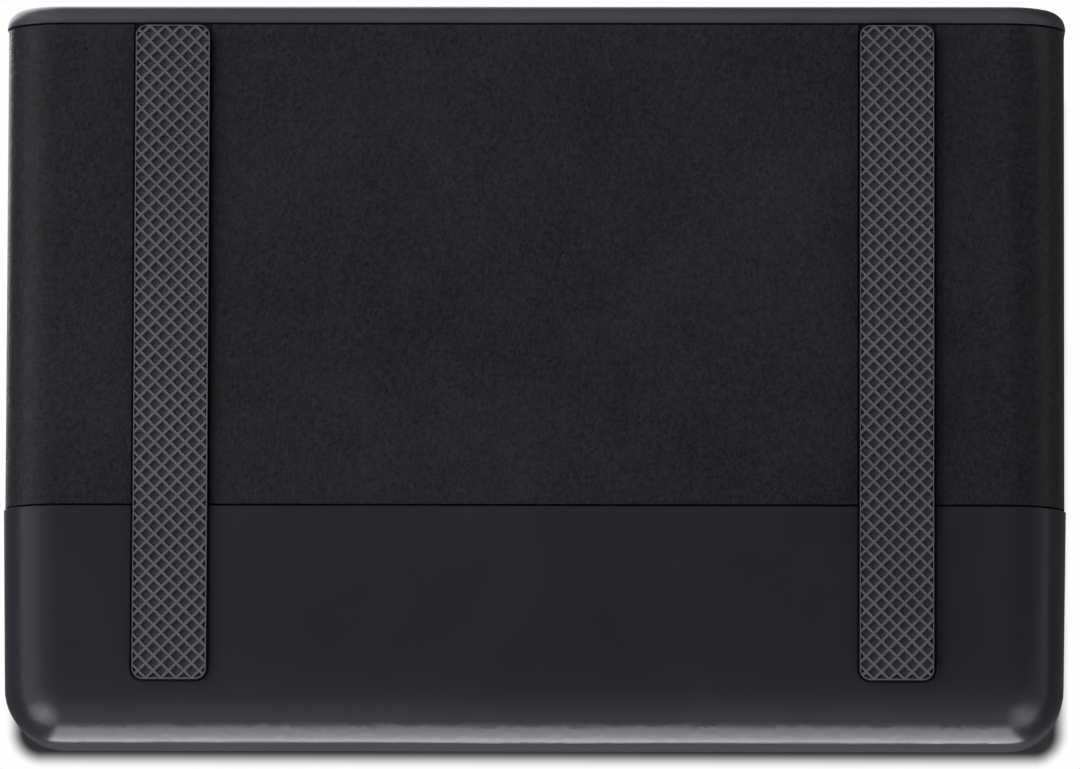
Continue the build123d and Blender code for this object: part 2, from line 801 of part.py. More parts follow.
def board_inductors():
    coils = []
    for x, y in coil_places:
        half = coil_size / 2
        coil = plate(x - half, x + half, y - half, y + half, board_top, board_top + coil_height, coil_corner)
        coil -= post(x, y, board_top + coil_height - can_groove, board_top + coil_height, coil_core_radius)
        coils.append(coil)
    return group(coils)


def display_lens():
    return plate(lens_centre_x - lens_length / 2, lens_centre_x + lens_length / 2,
                 panel_centre_y - lens_width / 2, panel_centre_y + lens_width / 2,
                 height - lens_thickness, height, lens_corner)


def lcd_frame():
    reach = lens_length / 2 + lcd_frame_margin
    rise = lens_width / 2 + lcd_frame_margin
    top = panel_top + lcd_frame_height
    frame = block(lens_centre_x - reach, lens_centre_x + reach, panel_centre_y - rise, panel_centre_y + rise,
                  panel_top, top)
    return frame - block(lens_centre_x - lens_length / 2, lens_centre_x + lens_length / 2,
                         panel_centre_y - lens_width / 2, panel_centre_y + lens_width / 2,
                         top - lcd_panel_thickness - slip_fit, top)


def lcd_panel():
    low = panel_top + lcd_frame_height - lcd_panel_thickness - slip_fit
    return block(lens_centre_x - lens_length / 2 + slip_fit, lens_centre_x + lens_length / 2 - slip_fit,
                 panel_centre_y - lens_width / 2 + slip_fit, panel_centre_y + lens_width / 2 - slip_fit,
                 low, low + lcd_panel_thickness)


def key_cap(x):
    half = key_size / 2
    reach = half + key_flange
    y = panel_centre_y
    top = height + key_proud
    cap = plate(x - half, x + half, y - half, y + half, key_flange_bottom, top, key_corner)
    cap = fillet(cap.faces().sort_by(Axis.Z)[-1].edges(), key_dish_depth)
    cap += plate(x - reach, x + reach, y - reach, y + reach, key_flange_bottom, key_flange_top, key_corner)
    dish = Pos(x, y, top + key_dish_radius - key_dish_depth) * Sphere(key_dish_radius)
    return cap - dish


def switch_plunger(x):
    top = key_flange_bottom
    return post(x, panel_centre_y, key_switch_top - plunger_length + key_travel, top, plunger_radius)


def key_switches():
    bodies = []
    half = key_switch_size / 2
    y = panel_centre_y
    for x in key_xs:
        body = block(x - half, x + half, y - half, y + half, panel_top, key_switch_top)
        bodies.append(body - post(x, y, key_switch_top - key_switch_well, key_switch_top,
                                  plunger_radius + running_fit))
    return group(bodies)


def pipe_places():
    return [(pipe_centre_x + step * pipe_pitch, pipe_row_y) for step in (-1, 0, 1)]


def light_pipes():
    low = panel_top + led_height + led_gap
    pipes = []
    for x, y in pipe_places():
        flange = post(x, y, cup_ceiling - pipe_flange_thickness, cup_ceiling, pipe_radius + pipe_flange)
        pipes.append(post(x, y, low, height, pipe_radius) + flange)
    return group(pipes)


def status_leds():
    half = led_size / 2
    return group(block(x - half, x + half, y - half, y + half, panel_top, panel_top + led_height)
                 for x, y in pipe_places())


def dc_jack_body():
    half = jack_width / 2
    jack = block(jack_centre_x - half, jack_centre_x + half, y_cap - jack_length, y_cap, board_top,
                 board_top + jack_height)
    return jack - rod_y(jack_centre_x, jack_z, y_cap - jack_bore_depth, y_cap, jack_bore_radius)


def dc_jack_pin():
    back = y_cap - jack_bore_depth
    return rod_y(jack_centre_x, jack_z, back, back + jack_pin_length, jack_pin_radius)


def usb_sleeve(inset, back, front):
    z = board_top + usb_height / 2
    outline = SlotOverall(usb_width - 2 * inset, usb_height - 2 * inset)
    mouth = Plane((usb_centre_x, front, z), x_dir=(1, 0, 0), z_dir=(0, -1, 0))
    return extrude(mouth * outline, amount=front - back)


def usb_port_shell():
    front = y_rear - usb_recess
    back = front - usb_length
    return usb_sleeve(0, back, front) - usb_sleeve(usb_shell, back + usb_shell, front)


def usb_port_tongue():
    z = board_top + usb_height / 2
    back = y_rear - usb_recess - usb_length + usb_shell
    half = usb_tongue_width / 2
    rise = usb_tongue_thickness / 2
    return block(usb_centre_x - half, usb_centre_x + half, back, back + usb_tongue_length, z - rise, z + rise)


def power_switch_body():
    half = switch_width / 2
    body = block(switch_centre_x - half, switch_centre_x + half, y_cap - switch_length, y_cap, board_top,
                 board_top + switch_height)
    half = rocker_width / 2 + rocker_side_gap
    rise = rocker_half_height + rocker_gap
    back = rocker_y - rocker_back - rocker_gap
    body -= block(switch_centre_x - half, switch_centre_x + half, back, y_cap,
                  rocker_z - rise, rocker_z + rise)
    reach = rocker_width / 2 + trunnion_length + rocker_side_gap
    return body - rod_x(rocker_y, rocker_z, switch_centre_x - reach, switch_centre_x + reach,
                        trunnion_radius + running_fit)


def power_rocker():
    tall = rocker_half_height
    points = [(rocker_valley, 0), (rocker_face, tall), (0, tall), (-rocker_back, tall / 2),
              (-rocker_back, -tall / 2), (0, -tall), (rocker_face, -tall)]
    rocker = profile_x(points, -rocker_width / 2, rocker_width / 2)
    reach = rocker_width / 2 + trunnion_length
    rocker += rod_x(0, 0, -reach, reach, trunnion_radius)
    return Pos(switch_centre_x, rocker_y, rocker_z) * Rot(-rocker_tilt, 0, 0) * rocker


def case_screws():
    seat = foot_thickness + screw_head_height
    length = parting_height + screw_bite - seat
    return group(screw(side * case_screw_x, y, seat, 1, length, screw_radius, screw_head_radius,
                       screw_head_height) for side in (-1, 1) for y in case_screw_rows)


def cup_screws():
    seat = foot_thickness + screw_head_height
    length = cup_floor + slip_fit + collar_wall + tongue_boss_height - seat
    return group(screw(side * case_screw_x, cup_screw_y, seat, 1, length, screw_radius, screw_head_radius,
                       screw_head_height) for side in (-1, 1))


def board_screws():
    length = board_thickness + board_lift
    return group(screw(side * board_screw_x, y, board_top, -1, length, small_screw_radius, small_head_radius,
                       small_head_height) for side in (-1, 1) for y in board_screw_rows)


def panel_screws():
    length = board_thickness + panel_drop
    return group(screw(side * panel_screw_x, y, panel_bottom, 1, length, small_screw_radius,
                       small_head_radius, small_head_height) for side in (-1, 1) for y in panel_screw_rows)


def cap_screws():
    seat = y_rear - small_head_height
    length = cap_thickness - small_head_height + cap_boss_length
    upright = screw(0, 0, 0, -1, length, small_screw_radius, small_head_radius, small_head_height)
    return group(Pos(side * cap_screw_x, seat, cap_screw_z) * Rot(-90, 0, 0) * upright for side in (-1, 1))


def build_parts():
    parts = {
        "base_shell": base_shell(),
        "top_shell": top_shell(),
        "front_shell": front_shell(),
        "rear_cap": rear_cap(),
        "foot_strip_left": foot_strip(-1),
        "foot_strip_right": foot_strip(1),
        "main_board": main_board(),
        "control_board": control_board(),
        "display_ribbon": display_ribbon(),
        "ribbon_sockets": ribbon_sockets(),
        "controller_chips": controller_chips(),
        "spreader_plate": spreader_plate(),
        "spreader_pads": spreader_pads(),
        "board_capacitors": board_capacitors(),
        "board_inductors": board_inductors(),
        "display_lens": display_lens(),
        "lcd_frame": lcd_frame(),
        "lcd_panel": lcd_panel(),
        "key_switches": key_switches(),
        "light_pipes": light_pipes(),
        "status_leds": status_leds(),
        "dc_jack_body": dc_jack_body(),
        "dc_jack_pin": dc_jack_pin(),
        "usb_port_shell": usb_port_shell(),
        "usb_port_tongue": usb_port_tongue(),
        "power_switch_body": power_switch_body(),
        "power_rocker": power_rocker(),
        "catch_magnets": catch_magnets(),
        "case_screws": case_screws(),
        "cup_screws": cup_screws(),
        "board_screws": board_screws(),
        "panel_screws": panel_screws(),
        "cap_screws": cap_screws(),
    }
    for number, hinge_y in enumerate(hinge_rows, start=1):
        parts[f"bay_lid_{number}"] = bay_lid(hinge_y)
        parts[f"lid_heatsink_{number}"] = lid_heatsink(hinge_y)
        parts[f"lid_thermal_pad_{number}"] = lid_thermal_pad(hinge_y)
        parts[f"lid_screws_{number}"] = lid_screws(hinge_y)
        parts[f"lid_magnets_{number}"] = lid_magnets(hinge_y)
        parts[f"lid_hinge_pin_{number}"] = hinge_pin(hinge_y)
        parts[f"m2_socket_{number}"] = m2_socket(hinge_y)
        parts[f"drive_clip_{number}"] = drive_clip(hinge_y)
    for number, (name, x) in enumerate(zip(key_names, key_xs), start=1):
        parts[name] = key_cap(x)
        parts[f"switch_plunger_{number}"] = switch_plunger(x)
    return parts


def write_parts():
    os.makedirs("parts", exist_ok=True)
    for name, shape in build_parts().items():
        export_step(shape, f"parts/{name}.step")
        print(name)


write_parts()
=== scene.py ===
import json
import math

import bmesh
import bpy
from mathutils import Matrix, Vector


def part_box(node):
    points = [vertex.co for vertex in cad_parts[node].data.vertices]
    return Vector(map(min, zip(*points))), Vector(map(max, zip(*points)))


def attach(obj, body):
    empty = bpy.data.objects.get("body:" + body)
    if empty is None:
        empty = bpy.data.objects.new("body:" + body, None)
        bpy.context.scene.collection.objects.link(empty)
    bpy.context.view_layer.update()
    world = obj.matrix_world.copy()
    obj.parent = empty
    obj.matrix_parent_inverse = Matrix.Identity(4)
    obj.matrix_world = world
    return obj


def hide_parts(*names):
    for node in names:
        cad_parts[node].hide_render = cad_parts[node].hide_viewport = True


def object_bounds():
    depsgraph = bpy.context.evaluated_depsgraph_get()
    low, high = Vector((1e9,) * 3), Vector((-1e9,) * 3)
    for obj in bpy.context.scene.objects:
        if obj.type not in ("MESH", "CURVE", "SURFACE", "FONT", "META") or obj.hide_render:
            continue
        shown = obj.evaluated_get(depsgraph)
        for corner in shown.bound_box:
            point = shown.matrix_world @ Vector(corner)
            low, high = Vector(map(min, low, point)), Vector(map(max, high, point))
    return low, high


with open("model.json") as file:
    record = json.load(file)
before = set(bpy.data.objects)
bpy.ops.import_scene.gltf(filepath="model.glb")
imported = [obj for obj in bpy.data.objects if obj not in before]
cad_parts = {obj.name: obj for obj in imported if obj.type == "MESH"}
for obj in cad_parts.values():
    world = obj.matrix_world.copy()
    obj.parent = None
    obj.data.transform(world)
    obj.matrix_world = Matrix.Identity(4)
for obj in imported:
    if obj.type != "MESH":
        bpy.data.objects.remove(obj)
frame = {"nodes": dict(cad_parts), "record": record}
cadLow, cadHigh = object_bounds()
mm = 0.001

# The object stands on its rubber strips, +Z up, front towards -Y. The photograph looks at its underside.
# Lengths in the dictionaries are millimetres and angles are degrees, unless a comment says otherwise.


# Small helpers for working with bpy.ops

def clearSelection():
    if bpy.context.object and bpy.context.object.mode != "OBJECT":
        bpy.ops.object.mode_set(mode="OBJECT")
    bpy.ops.object.select_all(action="DESELECT")


def pickOnly(thing):
    clearSelection()
    thing.select_set(True)
    bpy.context.view_layer.objects.active = thing


def editSelect(thing, kind, test):
    # enters edit mode with just the faces, edges or points that pass the test selected
    pickOnly(thing)
    bpy.ops.object.mode_set(mode="EDIT")
    bpy.ops.mesh.select_mode(type=kind)
    bpy.ops.mesh.select_all(action="DESELECT")
    mesh = bmesh.from_edit_mesh(thing.data)
    group = {"FACE": mesh.faces, "EDGE": mesh.edges, "VERT": mesh.verts}[kind]
    for item in group:
        if test(item):
            item.select_set(True)
    mesh.select_flush_mode()
    bmesh.update_edit_mesh(thing.data)


def leaveEdit():
    bpy.ops.object.mode_set(mode="OBJECT")


def applyAll(thing):
    pickOnly(thing)
    bpy.ops.object.transform_apply(location=True, rotation=True, scale=True)
    for step in list(thing.modifiers):
        bpy.ops.object.modifier_apply(modifier=step.name)


def newCube(name, low, high):
    clearSelection()
    middle = [(a + b) / 2 for a, b in zip(low, high)]
    bpy.ops.mesh.primitive_cube_add(size=1, location=middle)
    thing = bpy.context.object
    thing.scale = [b - a for a, b in zip(low, high)]
    thing.name = name
    bpy.ops.object.transform_apply(location=True, rotation=True, scale=True)
    return thing


def newCylinder(name, place, radius, depth, sides=48, turn=(0, 0, 0)):
    clearSelection()
    bpy.ops.mesh.primitive_cylinder_add(vertices=sides, radius=radius, depth=depth, location=place,
                                        rotation=turn)
    thing = bpy.context.object
    thing.name = name
    bpy.ops.object.transform_apply(location=True, rotation=True, scale=True)
    return thing


def roundEdges(thing, width, segments=3, angle=30):
    step = thing.modifiers.new("roundEdges", "BEVEL")
    step.width = width
    step.segments = segments
    step.limit_method = "ANGLE"
    step.angle_limit = math.radians(angle)
    applyAll(thing)


def smooth(thing, angle=35):
    pickOnly(thing)
    bpy.ops.object.shade_smooth_by_angle(angle=math.radians(angle))


def flattenNormals(thing):
    # big flat faces keep their own normal, so rounded edges beside them leave no shading on them
    step = thing.modifiers.new("flatNormals", "WEIGHTED_NORMAL")
    step.mode = "FACE_AREA"
    step.weight = 100
    step.keep_sharp = True
    pickOnly(thing)
    bpy.ops.object.modifier_apply(modifier=step.name)


def joinAll(things, name):
    clearSelection()
    for thing in things:
        thing.select_set(True)
    bpy.context.view_layer.objects.active = things[0]
    if len(things) > 1:
        bpy.ops.object.join()
    joined = bpy.context.object
    joined.name = name
    return joined


def combine(thing, tool, operation):
    # the tool is used up
    step = thing.modifiers.new("combine", "BOOLEAN")
    step.operation = operation
    step.solver = "EXACT"
    step.object = tool
    applyAll(thing)
    bpy.data.objects.remove(tool)


def repeat(thing, count, way):
    # a row of copies, made when the thing's modifiers are applied
    step = thing.modifiers.new("repeat", "ARRAY")
    step.count = count
    step.use_relative_offset = False
    step.use_constant_offset = True
    step.constant_offset_displace = way


def roundedSlab(name, low, high, corner, sides=8):
    # a block whose upright edges are rounded
    slab = newCube(name, low, high)
    halfHeight = (high[2] - low[2]) / 2
    editSelect(slab, "EDGE", lambda edge: abs(edge.verts[0].co.z - edge.verts[1].co.z) > halfHeight)
    bpy.ops.mesh.bevel(offset=corner, segments=sides, affect="EDGES")
    leaveEdit()
    return slab


def hand(thing, finish, body, nodes=()):
    # gives a finished piece its material, its body and the CAD nodes it stands for
    thing.data.materials.clear()
    thing.data.materials.append(finish)
    if nodes:
        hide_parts(*nodes)
    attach(thing, body)
    return thing


# Node groups that several finishes share

def newGroup(name, inputs, outputs):
    group = bpy.data.node_groups.new(name, "ShaderNodeTree")
    for label, value in inputs:
        socket = group.interface.new_socket(label, in_out="INPUT", socket_type="NodeSocketFloat")
        socket.default_value = value
    for label in outputs:
        group.interface.new_socket(label, in_out="OUTPUT", socket_type="NodeSocketFloat")
    entry = group.nodes.new("NodeGroupInput")
    leave = group.nodes.new("NodeGroupOutput")
    return group, entry, leave


def mathNode(tree, operation, first, second=None):
    node = tree.nodes.new("ShaderNodeMath")
    node.operation = operation
    for index, value in enumerate((first, second)):
        if value is None:
            continue
        if isinstance(value, (int, float)):
            node.inputs[index].default_value = value
        else:
            tree.links.new(value, node.inputs[index])
    return node.outputs[0]


def mapRange(tree, value, fromLow, fromHigh, toLow, toHigh):
    node = tree.nodes.new("ShaderNodeMapRange")
    for label, number in (("From Min", fromLow), ("From Max", fromHigh),
                          ("To Min", toLow), ("To Max", toHigh)):
        node.inputs[label].default_value = number
    tree.links.new(value, node.inputs["Value"])
    return node.outputs["Result"]


def weightedSum(tree, *parts):
    # adds the sockets, each times its own share
    total = None
    for socket, share in parts:
        term = mathNode(tree, "MULTIPLY", socket, share)
        total = term if total is None else mathNode(tree, "ADD", total, term)
    return total


def noise(tree, scale, detail, roughness):
    place = tree.nodes.new("ShaderNodeTexCoord")
    node = tree.nodes.new("ShaderNodeTexNoise")
    node.inputs["Detail"].default_value = detail
    node.inputs["Roughness"].default_value = roughness
    tree.links.new(scale, node.inputs["Scale"])
    tree.links.new(place.outputs["Object"], node.inputs["Vector"])
    return node.outputs["Fac"]


# scales are times the group's own scale, shares add up to the height
grainShape = {"fine": (1.5, 0.55), "coarseScale": 0.45, "coarse": (1.0, 0.5), "pitScale": 0.8,
              "pitSmoothness": 0.6, "fineShare": 0.5, "coarseShare": 0.35, "pitShare": 0.3,
              "shadeRange": (0.35, 0.8)}
handlingShape = {"broad": (3.0, 0.6), "streakScale": 4.5, "streak": (2.0, 0.5), "broadShare": 0.7,
                 "streakShare": 0.3, "range": (0.32, 0.68)}


def buildMouldGrain():
    # spark-eroded mould texture: small rounded pits of uneven size
    group, entry, leave = newGroup("mouldGrain", [("Scale", 2600.0)], ["Height", "Shade"])
    scale = entry.outputs["Scale"]
    fine = noise(group, scale, *grainShape["fine"])
    coarse = noise(group, mathNode(group, "MULTIPLY", scale, grainShape["coarseScale"]),
                   *grainShape["coarse"])
    place = group.nodes.new("ShaderNodeTexCoord")
    pits = group.nodes.new("ShaderNodeTexVoronoi")
    pits.feature = "SMOOTH_F1"
    pits.inputs["Smoothness"].default_value = grainShape["pitSmoothness"]
    group.links.new(place.outputs["Object"], pits.inputs["Vector"])
    group.links.new(mathNode(group, "MULTIPLY", scale, grainShape["pitScale"]), pits.inputs["Scale"])
    total = weightedSum(group, (fine, grainShape["fineShare"]), (coarse, grainShape["coarseShare"]),
                        (pits.outputs["Distance"], grainShape["pitShare"]))
    group.links.new(total, leave.inputs["Height"])
    group.links.new(mapRange(group, total, *grainShape["shadeRange"], 0.0, 1.0), leave.inputs["Shade"])
    return group


def buildHandling():
    # broad, faint unevenness left by moulding and handling, from 0 to 1
    group, entry, leave = newGroup("handling", [("Scale", 28.0)], ["Mask"])
    scale = entry.outputs["Scale"]
    broad = noise(group, scale, *handlingShape["broad"])
    streak = noise(group, mathNode(group, "MULTIPLY", scale, handlingShape["streakScale"]),
                   *handlingShape["streak"])
    total = weightedSum(group, (broad, handlingShape["broadShare"]), (streak, handlingShape["streakShare"]))
    group.links.new(mapRange(group, total, *handlingShape["range"], 0.0, 1.0), leave.inputs["Mask"])
    return group


def useGroup(tree, group, **values):
    node = tree.nodes.new("ShaderNodeGroup")
    node.node_tree = group
    for label, value in values.items():
        node.inputs[label].default_value = value
    return node


print("groups: mould grain and handling")
mouldGrain = buildMouldGrain()
handling = buildHandling()


# Finishes

# what a finish has unless it says otherwise
finishDefaults = {"metallic": 0.0, "specular": 0.5, "ior": 1.46, "alpha": 1.0, "bumpStrength": 0.5,
                  "handlingScale": 28.0, "handlingShare": 0.3, "coatRoughness": 0.1}


def newFinish(name, settings):
    # A Principled finish. Colour, roughness and bump change over the surface by the two shared groups.
    settings = {**finishDefaults, **settings}
    finish = bpy.data.materials.new(name)
    finish.use_nodes = True
    tree = finish.node_tree
    shader = tree.nodes["Principled BSDF"]
    shader.inputs["Metallic"].default_value = settings["metallic"]
    shader.inputs["Specular IOR Level"].default_value = settings["specular"]
    shader.inputs["IOR"].default_value = settings["ior"]
    shader.inputs["Alpha"].default_value = settings["alpha"]
    if "coat" in settings:
        shader.inputs["Coat Weight"].default_value = settings["coat"]
        shader.inputs["Coat Roughness"].default_value = settings["coatRoughness"]
    if "glow" in settings:
        shader.inputs["Emission Color"].default_value = (*settings["glow"], 1)
        shader.inputs["Emission Strength"].default_value = settings["glowStrength"]
    grain = useGroup(tree, mouldGrain, Scale=settings["grainScale"])
    hands = useGroup(tree, handling, Scale=settings["handlingScale"])
    mask = hands.outputs["Mask"]
    tint = tree.nodes.new("ShaderNodeMix")
    tint.data_type = "RGBA"
    tint.inputs["A"].default_value = (*settings["dark"], 1)
    tint.inputs["B"].default_value = (*settings["light"], 1)
    share = settings["handlingShare"]
    blend = weightedSum(tree, (grain.outputs["Shade"], 1 - share), (mask, share))
    tree.links.new(blend, tint.inputs["Factor"])
    colour = tint.outputs["Result"]
    if "wearAndPitShade" in settings:
        # the running face of the ridges is rubbed paler, and the pits between them grow darker with depth as
        # painted shade
        place = tree.nodes.new("ShaderNodeTexCoord")
        split = tree.nodes.new("ShaderNodeSeparateXYZ")
        tree.links.new(place.outputs["Object"], split.inputs["Vector"])
        wearAndPitShade = tree.nodes.new("ShaderNodeMix")
        wearAndPitShade.data_type = "RGBA"
        wearAndPitShade.inputs["B"].default_value = (*settings["wearAndPitShade"], 1)
        tree.links.new(colour, wearAndPitShade.inputs["A"])
        rubbedAndUnshaded = mapRange(tree, split.outputs["Z"], 0.0, settings["wearAndShadeDepth"] * mm,
                          settings["wearAndShadeShare"], 0.0)
        patchy = mapRange(tree, mask, 0.0, 1.0, settings["wearAndShadeLeast"], 1.0)
        tree.links.new(mathNode(tree, "MULTIPLY", rubbedAndUnshaded, patchy), wearAndPitShade.inputs["Factor"])
        colour = wearAndPitShade.outputs["Result"]
    tree.links.new(colour, shader.inputs["Base Color"])
    tree.links.new(mapRange(tree, mask, 0.0, 1.0, *settings["roughness"]), shader.inputs["Roughness"])
    bump = tree.nodes.new("ShaderNodeBump")
    bump.inputs["Strength"].default_value = settings["bumpStrength"]
    bump.inputs["Distance"].default_value = settings["grainDepth"] * mm
    tree.links.new(grain.outputs["Height"], bump.inputs["Height"])
    tree.links.new(bump.outputs["Normal"], shader.inputs["Normal"])
    return finish


# dark and light are linear colours, grainScale and handlingScale are repeats per metre
finishSettings = {
    "texturedShell": {"dark": (0.0002, 0.0002, 0.0004), "light": (0.0096, 0.0091, 0.0114),
                      "roughness": (0.29, 0.35), "specular": 0.45, "grainScale": 2300.0,
                      "grainDepth": 0.12, "bumpStrength": 1.0, "handlingShare": 0.15},
    "satinShell": {"dark": (0.0058, 0.0055, 0.0076), "light": (0.0072, 0.0068, 0.0092),
                   "roughness": (0.22, 0.26), "specular": 0.75, "grainScale": 5200.0, "grainDepth": 0.02,
                   "bumpStrength": 0.35, "handlingShare": 0.6},
    "capShell": {"dark": (0.0125, 0.0120, 0.0150), "light": (0.0170, 0.0163, 0.0200),
                 "roughness": (0.34, 0.40), "specular": 0.7, "grainScale": 5200.0, "grainDepth": 0.02,
                 "bumpStrength": 0.35, "handlingShare": 0.5},
    # footRubber's paler ridge tops are part rubbing wear, part painted shade in the pits
    "footRubber": {"dark": (0.0118, 0.0115, 0.0141), "light": (0.0212, 0.0207, 0.0244),
                   "roughness": (0.50, 0.64), "grainScale": 2600.0, "grainDepth": 0.04,
                   "bumpStrength": 0.5, "handlingShare": 0.4, "wearAndPitShade": (0.045, 0.0442, 0.0502),
                   "wearAndShadeDepth": 0.13, "wearAndShadeShare": 0.9, "wearAndShadeLeast": 0.7},
    "lidPlastic": {"dark": (0.0050, 0.0049, 0.0058), "light": (0.0150, 0.0147, 0.0165),
                   "roughness": (0.48, 0.56), "grainScale": 2300.0, "grainDepth": 0.09,
                   "bumpStrength": 0.6, "handlingShare": 0.2},
    "keyPlastic": {"dark": (0.022, 0.022, 0.024), "light": (0.030, 0.030, 0.033),
                   "roughness": (0.40, 0.50), "grainScale": 4200.0, "grainDepth": 0.03,
                   "bumpStrength": 0.4, "handlingShare": 0.5},
    "blackMoulding": {"dark": (0.010, 0.010, 0.011), "light": (0.016, 0.016, 0.018),
                      "roughness": (0.42, 0.50), "grainScale": 3800.0, "grainDepth": 0.03,
                      "bumpStrength": 0.4},
    "aluminium": {"dark": (0.62, 0.63, 0.65), "light": (0.78, 0.79, 0.80), "roughness": (0.28, 0.42),
                  "metallic": 1.0, "grainScale": 3400.0, "grainDepth": 0.03, "bumpStrength": 0.3,
                  "handlingShare": 0.4},
    "zincSteel": {"dark": (0.50, 0.50, 0.52), "light": (0.66, 0.66, 0.68), "roughness": (0.24, 0.36),
                  "metallic": 1.0, "grainScale": 5200.0, "grainDepth": 0.01, "bumpStrength": 0.3},
    "nickel": {"dark": (0.66, 0.65, 0.62), "light": (0.74, 0.73, 0.70), "roughness": (0.12, 0.20),
               "metallic": 1.0, "grainScale": 5200.0, "grainDepth": 0.01, "bumpStrength": 0.2},
    "gold": {"dark": (0.80, 0.56, 0.22), "light": (0.92, 0.68, 0.30), "roughness": (0.18, 0.28),
             "metallic": 1.0, "grainScale": 5200.0, "grainDepth": 0.01, "bumpStrength": 0.2},
    "thermalPad": {"dark": (0.30, 0.38, 0.46), "light": (0.40, 0.48, 0.56), "roughness": (0.60, 0.75),
                   "grainScale": 1800.0, "grainDepth": 0.06, "bumpStrength": 0.5, "handlingShare": 0.5},
    "solderMask": {"dark": (0.004, 0.020, 0.012), "light": (0.007, 0.034, 0.020),
                   "roughness": (0.30, 0.42), "grainScale": 1500.0, "grainDepth": 0.02,
                   "bumpStrength": 0.3, "coat": 0.3},
    "chipMoulding": {"dark": (0.012, 0.012, 0.012), "light": (0.022, 0.022, 0.022),
                     "roughness": (0.5, 0.62), "grainScale": 3800.0, "grainDepth": 0.03,
                     "bumpStrength": 0.4},
    "flatFlex": {"dark": (0.55, 0.58, 0.62), "light": (0.68, 0.71, 0.75), "roughness": (0.35, 0.45),
                 "grainScale": 1200.0, "grainDepth": 0.02, "bumpStrength": 0.3},
    "clipPlastic": {"dark": (0.020, 0.085, 0.26), "light": (0.030, 0.115, 0.33), "roughness": (0.38, 0.48),
                    "grainScale": 3800.0, "grainDepth": 0.03, "bumpStrength": 0.4},
    "ledResin": {"dark": (0.62, 0.64, 0.50), "light": (0.78, 0.78, 0.62), "roughness": (0.25, 0.35),
                 "grainScale": 3800.0, "grainDepth": 0.01, "bumpStrength": 0.2},
    "frostedPipe": {"dark": (0.46, 0.48, 0.50), "light": (0.60, 0.62, 0.64), "roughness": (0.30, 0.42),
                    "grainScale": 3800.0, "grainDepth": 0.03, "bumpStrength": 0.3},
    "rockerGloss": {"dark": (0.012, 0.012, 0.013), "light": (0.018, 0.018, 0.020),
                    "roughness": (0.20, 0.28), "grainScale": 4200.0, "grainDepth": 0.01,
                    "bumpStrength": 0.25, "handlingShare": 0.6},
    "markPaint": {"dark": (0.50, 0.51, 0.53), "light": (0.60, 0.61, 0.63), "roughness": (0.45, 0.60),
                  "grainScale": 3800.0, "grainDepth": 0.01, "bumpStrength": 0.2},
    "smokedWindow": {"dark": (0.006, 0.007, 0.009), "light": (0.010, 0.011, 0.014),
                     "roughness": (0.05, 0.11), "grainScale": 900.0, "grainDepth": 0.002,
                     "bumpStrength": 0.1, "handlingShare": 0.8, "alpha": 0.42},
    "screenGlass": {"dark": (0.012, 0.022, 0.034), "light": (0.018, 0.032, 0.046),
                    "roughness": (0.12, 0.20), "grainScale": 2600.0, "grainDepth": 0.002,
                    "bumpStrength": 0.1},
    # screenSegment gives off a faint painted glow, so the segments read under the smoked window
    "screenSegment": {"dark": (0.42, 0.62, 0.74), "light": (0.50, 0.70, 0.82), "roughness": (0.30, 0.40),
                      "grainScale": 2600.0, "grainDepth": 0.002, "bumpStrength": 0.1,
                      "glow": (0.45, 0.75, 0.95), "glowStrength": 0.5},
}
finishes = {name: newFinish(name, settings) for name, settings in finishSettings.items()}
print("finishes:", len(finishes))


# Shells and plates: the CAD forms with the fine rounded edges of moulded parts

edgedPieces = {
    "base_shell": ("baseShell", "texturedShell", 0.20),
    "top_shell": ("topShell", "texturedShell", 0.15),
    "front_shell": ("frontCup", "satinShell", 0.18),
    "rear_cap": ("rearPlate", "capShell", 0.20),
    "bay_lid_1": ("bayLidRear", "lidPlastic", 0.15),
    "bay_lid_2": ("bayLidFront", "lidPlastic", 0.15),
    "lid_heatsink_1": ("finBlockRear", "aluminium", 0.08),
    "lid_heatsink_2": ("finBlockFront", "aluminium", 0.08),
    "lid_thermal_pad_1": ("gapPadRear", "thermalPad", 0.12),
    "lid_thermal_pad_2": ("gapPadFront", "thermalPad", 0.12),
    "m2_socket_1": ("driveSocketRear", "blackMoulding", 0.07),
    "m2_socket_2": ("driveSocketFront", "blackMoulding", 0.07),
    "drive_clip_1": ("driveClipRear", "clipPlastic", 0.10),
    "drive_clip_2": ("driveClipFront", "clipPlastic", 0.10),
    "key_up": ("upKey", "keyPlastic", 0.16),
    "key_down": ("downKey", "keyPlastic", 0.16),
    "key_back": ("backKey", "keyPlastic", 0.16),
    "key_enter": ("enterKey", "keyPlastic", 0.16),
    "power_rocker": ("rocker", "rockerGloss", 0.16),
    "power_switch_body": ("switchHousing", "blackMoulding", 0.10),
    "dc_jack_body": ("inletHousing", "blackMoulding", 0.12),
    "dc_jack_pin": ("inletPin", "gold", 0.30),
    "usb_port_shell": ("portShell", "nickel", 0.06),
    "catch_magnets": ("catchMagnets", "nickel", 0.12),
    "lid_magnets_1": ("lidMagnetsRear", "nickel", 0.12),
    "lid_magnets_2": ("lidMagnetsFront", "nickel", 0.12),
    "lid_hinge_pin_1": ("hingePinRear", "zincSteel", 0.15),
    "lid_hinge_pin_2": ("hingePinFront", "zincSteel", 0.15),
    "lcd_frame": ("screenFrame", "blackMoulding", 0.10),
    "board_inductors": ("coils", "chipMoulding", 0.15),
    "controller_chips": ("controllerChips", "chipMoulding", 0.08),
}


edging = {"merge": 0.002, "flatAngle": 0.4, "segments": 2, "angle": 40, "smoothAngle": 34}


